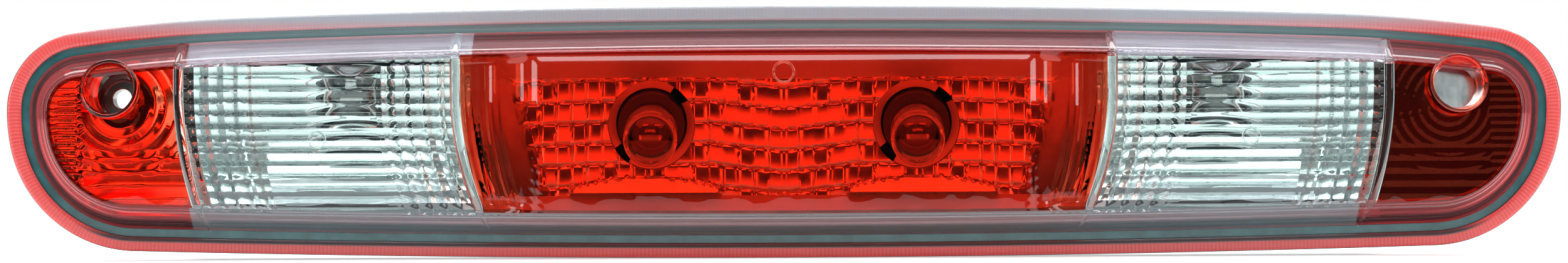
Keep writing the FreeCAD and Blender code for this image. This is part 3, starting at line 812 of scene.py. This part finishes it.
def endBack(x, z):
    s = endShape
    outer = smoothStep((x - s["outerZone"]) / 1.2)
    fine = s["outerDepth"] * scallop(z / s["outerPitch"])
    away = np.hypot(x - screwAt[0], z - screwAt[2] + 3)
    rings = (1 - smoothStep((away - s["ringReach"]) / 2)) * s["ringDepth"] * scallop(away / s["ringPitch"])
    broad = smoothStep((s["innerTop"] - z) / 1.5) * s["innerDepth"] * scallop(z / s["innerPitch"])
    inner = np.maximum(rings, broad)
    return faceY(x) + rimShape["thickness"] - 0.8 + outer * fine + (1 - outer) * inner


def wellPieces(side, sign):
    # the well is a cone about an axis that leans up and out from the screw seat
    w = wellShape
    seat = np.array([sign * screwAt[0], rimBack, screwAt[2]])
    axis = np.array([sign * w["out"], rimShape["faceY"] - rimBack, w["up"]])
    length = float(np.linalg.norm(axis))
    r = lambda t: w["seatRadius"] + (w["mouthRadius"] - w["seatRadius"]) * t / length
    lipTurn = np.linspace(0, math.pi, 9)
    top = length - 1.6
    lipR = r(top) + w["lip"]
    profile = [(w["hole"], 0.0), (w["hole"], 2.3), (w["hole"] + 0.4, 2.6), (r(2.6) - 0.5, 2.6), (r(3.2), 3.2)]
    profile += [(r(t), t) for t in np.linspace(5, top, 8)]
    profile += [(lipR - w["lip"] * math.cos(a), top + 0.8 * w["lip"] * math.sin(a)) for a in lipTurn[1:]]
    profile += [(r(t) + w["wall"], t) for t in np.linspace(top - 2, 0, 8)]
    well = lathePiece("screw_well_" + side, profile, seat, axis, "lamp_body", "red_lens",
                      [redAcrylic, edgeMaterial],
                      segments=96, faceRows=[1, 1, 1, 1] + [0] * (len(profile) - 4))
    far = length + 6
    cutter = lathePiece("cutter", [(0.01, 4), (r(4) + w["wall"], 4), (r(far) + w["wall"], far), (0.01, far)],
                        seat, axis, "lamp_body", "red_lens", [redAcrylic], segments=96)
    return well, cutter


def cutWith(piece, cutter):
    boolean = piece.modifiers.new("cut", "BOOLEAN")
    boolean.operation = "DIFFERENCE"
    boolean.solver = "EXACT"
    boolean.object = cutter
    graph = bpy.context.evaluated_depsgraph_get()
    mesh = bpy.data.meshes.new_from_object(piece.evaluated_get(graph))
    piece.modifiers.clear()
    old = piece.data
    piece.data = mesh
    bpy.data.meshes.remove(old)
    bpy.data.objects.remove(cutter)
    piece.data.set_sharp_from_angle(angle=math.radians(40))


for side, sign in (("left", -1), ("right", 1)):
    tip = lensHigh[0] - rimShape["faceInset"]
    end = slab(
        "red_end_" + side, sign,
        lambda z: ribX(z, "outer") + ribShape["halfWidth"] - 0.2, lambda z: tip + 0 * z,
        lambda x, z: faceY(x), endBack, endShape["step"], redAcrylic, "red_lens", easeTip=True,
    )
    well, cutter = wellPieces(side, sign)
    cutWith(end, cutter)
    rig.replaces(end, "lens_end_" + side)
    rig.replaces(well, "screw_well_" + side)
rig.replaces(rim, "lens_red")
print("red ends and wells")


# Reflectors: trays whose floor is a quilt of facets.

stopTray = {
    "backY": 8.0,
    "frontY": -8.3,
    "halfFront": (103.0, 95.0),
    "halfBack": (88.0, 77.0),
    "top": (28.0, 17.6),
    "bottom": (-27.5, -21.0),
    "columnPitch": 5.0,
    "rowPitch": 7.0,
    "quilt": 0.65,
    "tilt": 0.85,
    "hole": 14.3,
    "wall": 1.4,
    "step": 0.5,
    "seam": 0.3,
    "ledge": (3.2, 0.42, -14.6),  # how proud, how steeply it leans up, and from which height
}
joints = {joint["name"]: joint for joint in frame["joints"]}


def lampAxis(name):
    # origin and forward direction of a lamp, from its twist joint
    joint = joints[name + "_twist"]
    return np.array(joint["pos_m"]) / mm, -np.array(joint["axis"])


cargoTray = {
    "backY": 8.0,
    "frontY": -8.3,
    "halfFront": (45.0, 45.0),
    "halfBack": (43.4, 42.6),
    "top": (26.0, 25.0),
    "bottom": (-27.0, -19.0),
    "hole": 12.9,
    "ring": 16.4,
    "middle": (142.5, 0.132),
    "ramp": (9.0, -7.0, 112.0, 170.0),  # a flat slope at the bottom: rise, where it starts, its two ends
    "wall": 1.4,
    "step": 0.6,
}


def trayDepth(x, z, shape, centreX=0.0):
    # 0 on the floor rising to 1 at the front edge: the steepest of the side, top and bottom walls
    t = np.clip((z - shape["bottom"][1]) / (shape["top"][1] - shape["bottom"][1]), 0, 1)
    back = shape["halfBack"][1] + t * (shape["halfBack"][0] - shape["halfBack"][1])
    front = shape["halfFront"][1] + t * (shape["halfFront"][0] - shape["halfFront"][1])
    sides = (np.abs(x - centreX) - back) / (front - back)
    top = (z - shape["top"][1]) / (shape["top"][0] - shape["top"][1])
    bottom = (z - shape["bottom"][1]) / (shape["bottom"][0] - shape["bottom"][1])
    return np.clip(np.maximum(np.maximum(sides, top), bottom), 0, 1)


def traySurface(name, shape, height, low, high, materials, holes):
    # a closed sheet of even thickness: front y = height(x, z), back the same plus the wall
    columns = int((high[0] - low[0]) / shape["step"])
    rows = int((high[1] - low[1]) / shape["step"])
    x, z = np.meshgrid(np.linspace(low[0], high[0], columns), np.linspace(low[1], high[1], rows))
    y = height(x, z)
    front = np.stack([x, y, z], axis=-1).reshape(-1, 3)
    # the walls round the floor are left matt
    shade = (z > shape["top"][1] + 0.2) | (z < shape["bottom"][1] - 0.4)
    if shape is cargoTray:
        shade = trayDepth(np.abs(x) - cargoMiddle(z), z, shape) > 0.02
    shade = shade[:-1, :-1].ravel()
    border = 2 * (sum(x.shape) - 2)
    kinds = np.concatenate([shade, shade, np.zeros(border, dtype=bool)])
    piece = closedSheet(name, np.concatenate([front, front + [0, shape["wall"], 0]]), x.shape,
                        materials, kinds=kinds)
    for lamp, radius in holes:
        origin, along = lampAxis(lamp)
        cutter = lathePiece("cutter", [(0.01, -6), (radius, -6), (radius, 30), (0.01, 30)], origin, along,
                            "lamp_body", "metallised_reflector", materials[:1], segments=96)
        cutWith(piece, cutter)
    return piece


def facetTilt(i, j, k):
    # a repeatable number from -1 to 1 for facet (i, j): the fraction of a large sine
    t = np.sin(i * 12.9898 + j * 78.233 + k * 37.719) * 43758.5453
    return 2 * (t - np.floor(t)) - 1


def stopHeight(x, z):
    # the floor is a quilt: each facet a small arch in x and z, in rows that sag between the bulbs
    s = stopTray
    bulbX = np.abs(lampAxis("stop_right")[0][0])
    near = np.abs(np.abs(x) - bulbX)
    sag = np.where(np.abs(x) < bulbX - 18, 0.11 * (bulbX - 18 - np.abs(x)), 0.04 * np.maximum(0, near - 15))
    u, v = x / s["columnPitch"], (z - s["top"][1] + sag) / s["rowPitch"]
    i, j = np.floor(np.abs(u)), np.floor(v)
    column, row = scallop(u), scallop(v)
    depth = trayDepth(x, z, s)
    tilt = facetTilt(i, j, 1) * (np.abs(u) - i - 0.5) + facetTilt(i, j, 2) * (v - j - 0.5)
    seam = smoothStep((np.maximum(np.abs(np.abs(u) - i - 0.5), np.abs(v - j - 0.5) + 0.02) - 0.44) / 0.04)
    quilt = s["quilt"] * (0.6 * column + 0.4 * row) + s["tilt"] * tilt - s["seam"] * seam
    quilt = quilt * (1 - smoothStep((depth - 0.02) / 0.2))
    ledge = archLedge(x, z, bulbX)
    y = s["backY"] + depth * (s["frontY"] - s["backY"])
    proud, lean, start = s["ledge"]
    return y - quilt * (1 - ledge) - ledge * (proud + lean * np.maximum(0, start - z))


def archLedge(x, z, bulbX):
    # a smooth shelf under each bulb, its top edge an arc that is highest below the bulb
    away = (np.abs(x) - bulbX - 2) / 25.0
    crest = -14.6 - 3.2 * away ** 2
    inside = smoothStep((crest - z) / 0.5) * smoothStep((1 - np.abs(away)) * 25 / 0.8)
    return inside * smoothStep((z + 20.6) / 0.4)


stopHoles = [(lamp, stopTray["hole"]) for lamp in ("stop_left", "stop_right")]
stopPiece = traySurface("stop_reflector_facets", stopTray, stopHeight, (-103, -27.5), (103, 28),
                        [brightFilm, wallFilm], stopHoles)
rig.replaces(stopPiece, "stop_reflector")


def cargoMiddle(z):
    # the tray leans like the ribs: its middle moves out by a fixed part of the height
    s = cargoTray
    return s["middle"][0] + s["middle"][1] * (z - s["bottom"][0])


def cargoHeight(sign):
    def height(x, z):
        # plain floor with a shallow bowl and a raised ring round the bulb hole
        s = cargoTray
        origin, along = lampAxis("cargo_right")
        away = np.hypot(np.abs(x) - origin[0], z - origin[2])
        ringBand = smoothStep((s["ring"] - away) / 0.8) * smoothStep((away - s["hole"] + 1.5) / 0.8)
        depth = trayDepth(np.abs(x) - cargoMiddle(z), z, s)
        y = s["backY"] + depth * (s["frontY"] - s["backY"])
        ramp = np.clip((s["ramp"][1] - z) / (s["ramp"][1] - s["bottom"][0]), 0, 1)
        onRamp = (np.abs(x) > s["ramp"][2]) & (np.abs(x) < s["ramp"][3])
        rise = s["ramp"][0] * ramp * np.where(onRamp, 1, 0.45)
        y = np.minimum(y, s["backY"] - rise)
        return y - 2.2 * ringBand * (1 - smoothStep(depth / 0.2))
    return height


for side, sign in (("left", -1), ("right", 1)):
    low, high = sorted((sign * 97.5, sign * 194.0))
    piece = traySurface("cargo_reflector_tray_" + side, cargoTray, cargoHeight(sign), (low, -27), (high, 26),
                        [satinFilm, shadeFilm], [("cargo_" + side, cargoTray["hole"])])
    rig.replaces(piece, "cargo_reflector_" + side)


# Fluted dishes behind the red ends.

dishShape = {
    "inner": 199.0,
    "clear": 2.4,  # from the rib's line to the dish
    "outer": 241.0,
    "inset": 13.0,
    "floorY": -7.4,
    "rise": 4.4,
    "band": 9.0,
    "wall": 1.2,
    "finePitch": 2.5,
    "fine": 1.0,
    "broadPitch": 4.2,
    "broad": 1.0,
    "hole": 2.4,
    "step": 0.4,
}


def dishY(x, z, edge):
    # a shallow bowl that rises over its outer band, with fine lying flutes outside and broad ones under the well
    s = dishShape
    rise = (1 - np.clip(edge / s["band"], 0, 1)) ** 2 * s["rise"]
    outside = smoothStep((x - endShape["outerZone"]) / 1.2)
    fine = outside * s["fine"] * scallop(z / s["finePitch"])
    away = np.hypot(x - screwAt[0], z - screwAt[2])
    below = smoothStep((endShape["innerTop"] - z) / 1.5) * s["broad"] * scallop(z / s["broadPitch"] + 0.3)
    rings = (1 - smoothStep((away - 24) / 2)) * s["broad"] * scallop(away / s["broadPitch"])
    return s["floorY"] - rise - fine - (1 - outside) * np.maximum(below, rings)


def dishPiece(side, sign):
    s = dishShape
    u = np.linspace(0, 1, int((s["outer"] - s["inner"]) / s["step"]))[None, :]
    v = np.linspace(0, 1, int(52 / s["step"]))[:, None]
    z = -26 + 52 * v + 0 * u
    for _ in range(5):
        # the inner edge follows the leaning rib
        start = ribX(z, "outer") + s["clear"]
        x = start + u * (s["outer"] - start)
        low, high = edgeZ(x, s["inset"], False), edgeZ(x, s["inset"], True)
        z = low + v * (high - low)
    edge = np.minimum(np.minimum(z - low, high - z), s["outer"] + 1.5 - x)
    y = dishY(x, z, edge)
    front = np.stack([sign * x, y, z], axis=-1).reshape(-1, 3)
    both = np.concatenate([front, front + [0, s["wall"], 0]])
    # the lower half of each fine flute faces down; its lowest part gets a dark film, painted shade
    part = z / s["finePitch"] - np.floor(z / s["finePitch"])
    dark = ((x > endShape["outerZone"]) & (part < 0.3) & (edge > 1.5))[:-1, :-1].ravel()
    kinds = np.concatenate([dark, 0 * dark, np.zeros(2 * (sum(x.shape) - 2), dtype=bool)])
    piece = closedSheet("end_dish_" + side, both, x.shape, [endFilm, fluteShadeFilm], sharp=30, kinds=kinds)
    w = wellShape
    seat = np.array([sign * screwAt[0], rimBack, screwAt[2]])
    axis = np.array([sign * w["out"], rimShape["faceY"] - rimBack, w["up"]])
    near, far = w["seatRadius"] + w["wall"] + s["hole"] - 1, w["seatRadius"] + w["wall"] + s["hole"]
    cutter = lathePiece("cutter", [(0.01, -4), (near, -4), (far, 12), (0.01, 12)], seat, axis, "lamp_body",
                        "metallised_reflector", [endFilm], segments=96)
    cutWith(piece, cutter)
    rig.replaces(piece, "end_reflector_" + side)


for side, sign in (("left", -1), ("right", 1)):
    dishPiece(side, sign)


# Bright sleeves between each bulb hole and its socket, open at the two bayonet notches.

sleeveShape = {
    "gap": 0.15,
    "inner": 11.7,
    "backAt": 4.0,
    "slope": 1.6,
    "wall": 0.6,
    "notchAt": (45.0, 225.0),
    "notchHalf": 13.0,
}


def sleevePiece(lamp, hole, tag, start, end):
    # part of a cone from the reflector's hole back to the socket neck, its front edge in the reflector's floor
    s = sleeveShape
    origin, along = lampAxis(lamp)
    along = along / np.linalg.norm(along)
    v = np.cross(along, [1.0, 0, 0])
    turn = np.radians(np.linspace(start, end, 40))
    r = hole - s["gap"]
    frontAt = (stopTray["backY"] + 0.3 - origin[1] - r * np.sin(turn) * v[1]) / along[1]
    frontAt = np.maximum(frontAt, s["backAt"] + 0.1)
    backAt = np.maximum(s["backAt"], frontAt - s["slope"])
    rows = [(r + 0 * turn, frontAt), (s["inner"] + 0 * turn, backAt),
            (s["inner"] + 0 * turn, backAt - s["wall"]), (r + s["gap"] * 0.5 + 0 * turn, frontAt - s["wall"])]
    local = np.array([np.stack([a * np.cos(turn), a * np.sin(turn), b], axis=-1) for a, b in rows])
    faces = gridFaces(4, len(turn), closeRows=True)
    n = len(turn)
    caps = np.array([[0, n, 2 * n, 3 * n], [4 * n - 1, 3 * n - 1, 2 * n - 1, n - 1]])
    faces = np.concatenate([faces, caps])
    return addPiece("%s_sleeve_%s" % (lamp, tag), placeLocal(local, origin, along), faces,
                    "lamp_body", "metallised_reflector", [sleeveFilm], sharp=40)


for lamp, hole in (("stop_left", stopTray["hole"]), ("stop_right", stopTray["hole"]),
                   ("cargo_left", cargoTray["hole"]), ("cargo_right", cargoTray["hole"])):
    first, second = sleeveShape["notchAt"]
    half = sleeveShape["notchHalf"]
    sleevePiece(lamp, hole, "upper", first + half, second - half)
    sleevePiece(lamp, hole, "lower", second + half, first + 360 - half)
print("reflectors")


# Bulbs: blown glass envelope, coiled filament on two supports.

bulbShape = {
    "base": 7.0,
    "radius": 8.8,
    "seat": -3.0,
    "shoulder": 10.5,
    "tip": 37.0,
    "glass": 0.9,
    "pinch": 12.0,
    "filamentAt": 25.0,
    "span": 7.0,
    "coil": 0.75,
    "wire": 0.28,
    "turns": 13,
}


def bulbProfile():
    # outside from the axis at the base up over the dome, inside back down to the pinch
    s = bulbShape
    domeAt = s["tip"] - s["radius"]
    arc = np.radians(np.linspace(0, 89.6, 18))
    neck = s["shoulder"] - 1.5
    rows = [(0.02, s["seat"]), (s["base"] - 0.4, s["seat"]), (s["base"], s["seat"] + 0.4), (s["base"], neck)]
    swell = s["radius"] - s["base"]
    rows += [(s["base"] + swell * smoothStep(t), neck + 3.5 * t) for t in (0.3, 0.6, 1.0)]
    rows += [(s["radius"] * math.cos(a), domeAt + s["radius"] * math.sin(a)) for a in arc]
    inner = s["radius"] - s["glass"]
    rows += [(inner * math.cos(a), domeAt + inner * math.sin(a)) for a in arc[::-1]]
    pinch = s["pinch"]
    rows += [(inner, pinch + 3), (inner - 1.2, pinch + 1), (inner - 4, pinch), (0.02, pinch)]
    return rows


def filamentPoints():
    # a helix about the u axis: (u, r cos a, w + r sin a)
    s = bulbShape
    a = np.linspace(0, 2 * math.pi * s["turns"], s["turns"] * 14)
    u = np.linspace(-s["span"] / 2, s["span"] / 2, len(a))
    return np.stack([u, s["coil"] * np.cos(a), s["filamentAt"] + s["coil"] * np.sin(a)], axis=-1)


tungsten = platedMetal("drawnTungsten", "D6D2CC", 0.3, 0.2)
for lamp in ("stop_left", "stop_right", "cargo_left", "cargo_right"):
    origin, along = lampAxis(lamp)
    body = lamp + "_lamp"
    glass = lathePiece(lamp + "_envelope", bulbProfile(), origin, along, body, "bulb_glass",
                       [bulbGlassMaterial], 64)
    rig.replaces(glass, lamp + "_bulb")
    s = bulbShape
    strands = [filamentPoints()]
    for end in (-1, 1):
        foot = np.array([end * 1.6, 0, s["pinch"]])
        head = np.array([end * (s["span"] / 2 + 0.1), 0, s["filamentAt"] - 0.2])
        t = np.linspace(0, 1, 12)[:, None]
        strands.append(foot + (head - foot) * smoothStep(t) * [1, 1, 0] + (head - foot) * t * [0, 0, 1])
    points, faces, used = [], [], 0
    for k, strand in enumerate(strands):
        p, f, caps = tubePath(strand, s["wire"] if k == 0 else 0.35, 8)
        points.append(p)
        faces += [f + used, caps + used]
        used += len(p)
    quads = np.concatenate(faces)
    local = np.concatenate(points)
    wireMesh = placeLocal(local, origin, along)
    mesh = bpy.data.meshes.new(lamp + "_coil")
    mesh.from_pydata((wireMesh * mm).tolist(), [], [list(dict.fromkeys(q)) for q in quads.tolist()])
    mesh.materials.append(tungsten)
    mesh.polygons.foreach_set("use_smooth", np.ones(len(mesh.polygons), dtype=bool))
    coil = bpy.data.objects.new(lamp + "_coil", mesh)
    bpy.context.scene.collection.objects.link(coil)
    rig.ride(coil, body)
    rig.slot(coil, "filament_wire")
    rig.replaces(coil, lamp + "_filament")
print("bulbs")


# CAD pieces that keep their shape get their real material.

for name, node in frame["nodes"].items():
    for key, material in materialOfNode.items():
        if name == key or name.startswith(key + "_") or name.endswith("_" + key):
            if name == "lens_seal" and key == "seal":
                continue
            for index in range(max(1, len(node.material_slots))):
                if node.material_slots:
                    node.material_slots[index].material = material
                else:
                    node.data.materials.append(material)


# Stage: pale floor, soft lights all round, a dim room in front.

stagePlan = {
    "floorReach": 1.6,
    "floor": "F2F2F2",
    "roomFront": "1F3436",  # what the mirrors see straight ahead
    "roomHigh": "8FA6A8",
    "roomBack": "E6E8E8",
    "softboxes": [
        # name, position in metres, width and height, radiance, aim
        ("overhead", (0, -0.15, 0.9), (1.6, 0.5), 4.0, (0, 0, 0)),
        ("frontHigh", (0, -1.25, 1.0), (1.2, 0.26), 7.0, (0, 0, 0)),
        ("behind", (0, 1.1, 0.95), (1.8, 0.6), 4.2, (0, 0, 0)),
        ("frontLeft", (-1.0, -1.15, 0.225), (0.26, 0.42), 6.5, (-0.1, 0, 0)),
        ("frontRight", (1.0, -1.15, 0.225), (0.26, 0.42), 6.5, (0.1, 0, 0)),
    ],
}
reach = stagePlan["floorReach"]
floorZ = lensLow[2] * mm
floorMesh = bpy.data.meshes.new("floor")
corners = [(-reach, -reach, floorZ), (reach, -reach, floorZ), (reach, reach, floorZ), (-reach, reach, floorZ)]
floorMesh.from_pydata(corners, [], [(0, 1, 2, 3)])
floor = bpy.data.objects.new("floor", floorMesh)
bpy.context.scene.collection.objects.link(floor)
paper, tree = newMaterial("whitePaper")
sheet = addNode(tree, "BsdfPrincipled", {"Base Color": rgb(stagePlan["floor"]), "Roughness": 0.8})
glow = addNode(tree, "Emission", {"Strength": 0.45})
lifted = addNode(tree, "AddShader", links={0: sheet.outputs[0], 1: glow.outputs[0]})
path = addNode(tree, "LightPath")
seen = addNode(tree, "MixShader", links={
    0: path.outputs["Is Camera Ray"], 1: sheet.outputs[0], 2: lifted.outputs[0]})
finishMaterial(tree, addNode(tree, "MixShader", links={
    0: path.outputs["Is Glossy Ray"], 1: seen.outputs[0], 2: lifted.outputs[0]}))
floorMesh.materials.append(paper)
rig.stage(floor)

for name, place, size, radiance, target in stagePlan["softboxes"]:
    light = bpy.data.lights.new(name, "AREA")
    light.shape = "RECTANGLE"
    light.size, light.size_y = size
    light.energy = radiance * size[0] * size[1] * math.pi
    lamp = bpy.data.objects.new(name, light)
    lamp.location = place
    lamp.rotation_euler = (Vector(target) - Vector(place)).to_track_quat("-Z", "Y").to_euler()
    bpy.context.scene.collection.objects.link(lamp)

world = bpy.data.worlds.new("studio")
bpy.context.scene.world = world
world.use_nodes = True
tree = world.node_tree
tree.nodes.clear()
coordinates = addNode(tree, "TexCoord")
split = addNode(tree, "SeparateXYZ", links={0: coordinates.outputs["Generated"]})
high = addNode(tree, "MapRange", {"From Min": 0.15, "From Max": 0.65}, {0: split.outputs[2]})
back = addNode(tree, "MapRange", {"From Min": -0.1, "From Max": 0.5}, {0: split.outputs[1]})
ahead = {"data_type": "RGBA", 6: rgb(stagePlan["roomFront"]), 7: rgb(stagePlan["roomHigh"])}
front = addNode(tree, "Mix", ahead, {0: high.outputs[0]})
whole = addNode(tree, "Mix", {"data_type": "RGBA", 7: rgb(stagePlan["roomBack"])},
                {0: back.outputs[0], 6: front.outputs[2]})
room = addNode(tree, "Background", {"Strength": 0.8}, {"Color": whole.outputs[2]})
seen = addNode(tree, "Background", {"Color": (1, 1, 1, 1), "Strength": 1.0})
path = addNode(tree, "LightPath")
mix = addNode(tree, "MixShader", links={
    0: path.outputs["Is Camera Ray"], 1: room.outputs[0], 2: seen.outputs[0]})
addNode(tree, "OutputWorld", links={"Surface": mix.outputs[0]})
bpy.context.scene.view_settings.view_transform = "Standard"

distance = 1.8
frameWidth = 0.5115  # what the picture's width spans at the rim
roll = 0.0045
camera = bpy.data.objects.new("camera", bpy.data.cameras.new("camera"))
camera.data.sensor_width = 36
camera.data.lens = 36 * distance / frameWidth
camera.location = (0, rimFront * mm - distance, 0)
camera.rotation_euler = (math.pi / 2, roll, 0)
camera.data.clip_start = 0.05
bpy.context.scene.collection.objects.link(camera)
bpy.context.scene.camera = camera

with open("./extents.json", "w") as out:
    json.dump({"cad": cadBox, "visual": [list(corner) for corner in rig.bounds()]}, out)
print(open("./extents.json").read())
